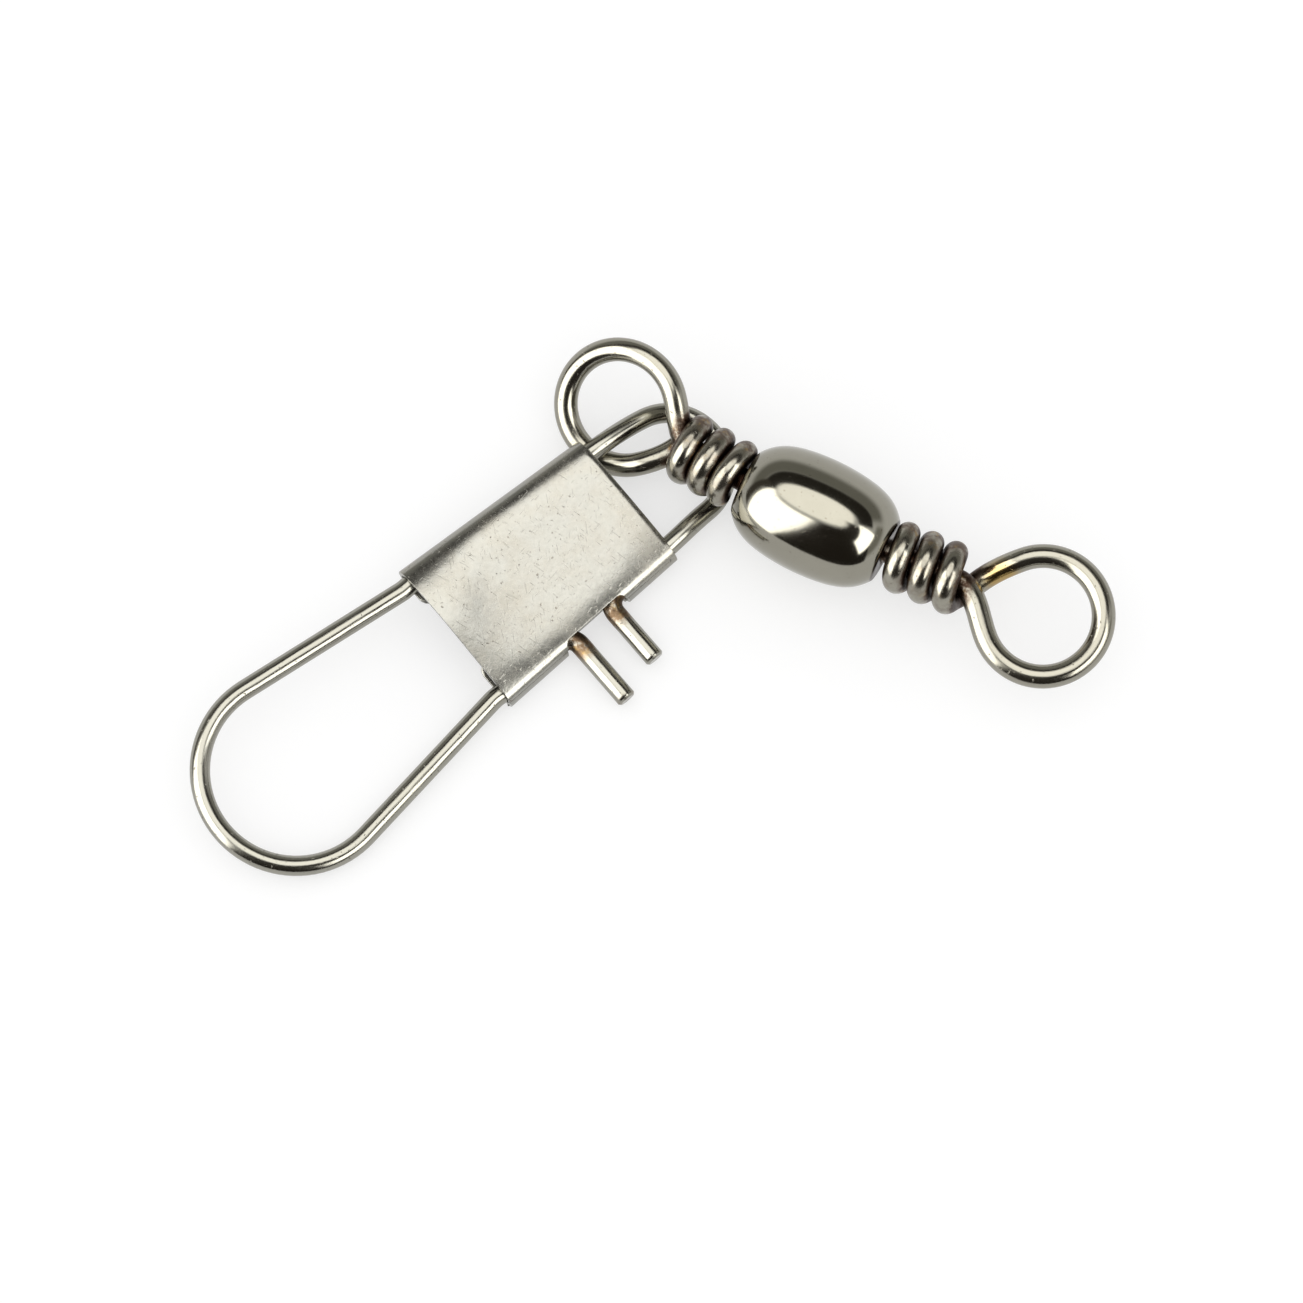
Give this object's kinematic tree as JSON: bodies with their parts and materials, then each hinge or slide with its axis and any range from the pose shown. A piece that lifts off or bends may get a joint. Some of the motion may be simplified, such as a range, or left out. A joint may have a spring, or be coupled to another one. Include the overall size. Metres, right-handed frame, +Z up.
{
  "type": "snap swivel",
  "caption": "Nickel-plated barrel swivel with a coiled wire eye in each end and a flat wire snap, closed by a folded lock plate, hung on one eye; for joining fishing line to a lure.",
  "frame": {"origin": "middle of the bounding box's base, on the surface the part lies on", "axes": "+X along the part's length as it lies, from the snap's big loop towards the rear eye; +Z up"},
  "size_m": [0.036, 0.021, 0.0047],
  "materials": {
    "barrel_metal": "polished nickel plate on turned brass",
    "eye_metal": "bright nickel plate on brass wire",
    "snap_metal": "bright nickel plate on spring steel wire",
    "plate_metal": "satin nickel plate on brass sheet"
  },
  "bodies": {
    "front_eye": {"front_eye": "eye_metal"},
    "barrel": {"barrel": "barrel_metal"},
    "rear_eye": {"rear_eye": "eye_metal"},
    "snap": {"snap_wire": "snap_metal", "lock_plate": "plate_metal"}
  },
  "joints": [
    {"name": "front_eye_spin", "type": "hinge", "parent": "front_eye", "child": "barrel", "pos_m": [0.00391, 0.00467, 0.00236], "axis": [-0.849, 0.5264, -0.0454], "continuous": true},
    {"name": "rear_eye_spin", "type": "hinge", "parent": "barrel", "child": "rear_eye", "pos_m": [0.00872, 0.00218, 0.00236], "axis": [0.9178, -0.3971, 0], "continuous": true},
    {"name": "snap_swing", "type": "hinge", "parent": "front_eye", "child": "snap", "pos_m": [-0.00123, 0.008, 0.00186], "axis": [0.3176, 0.4595, -0.8294], "range_deg": [0, 150]}
  ]
}
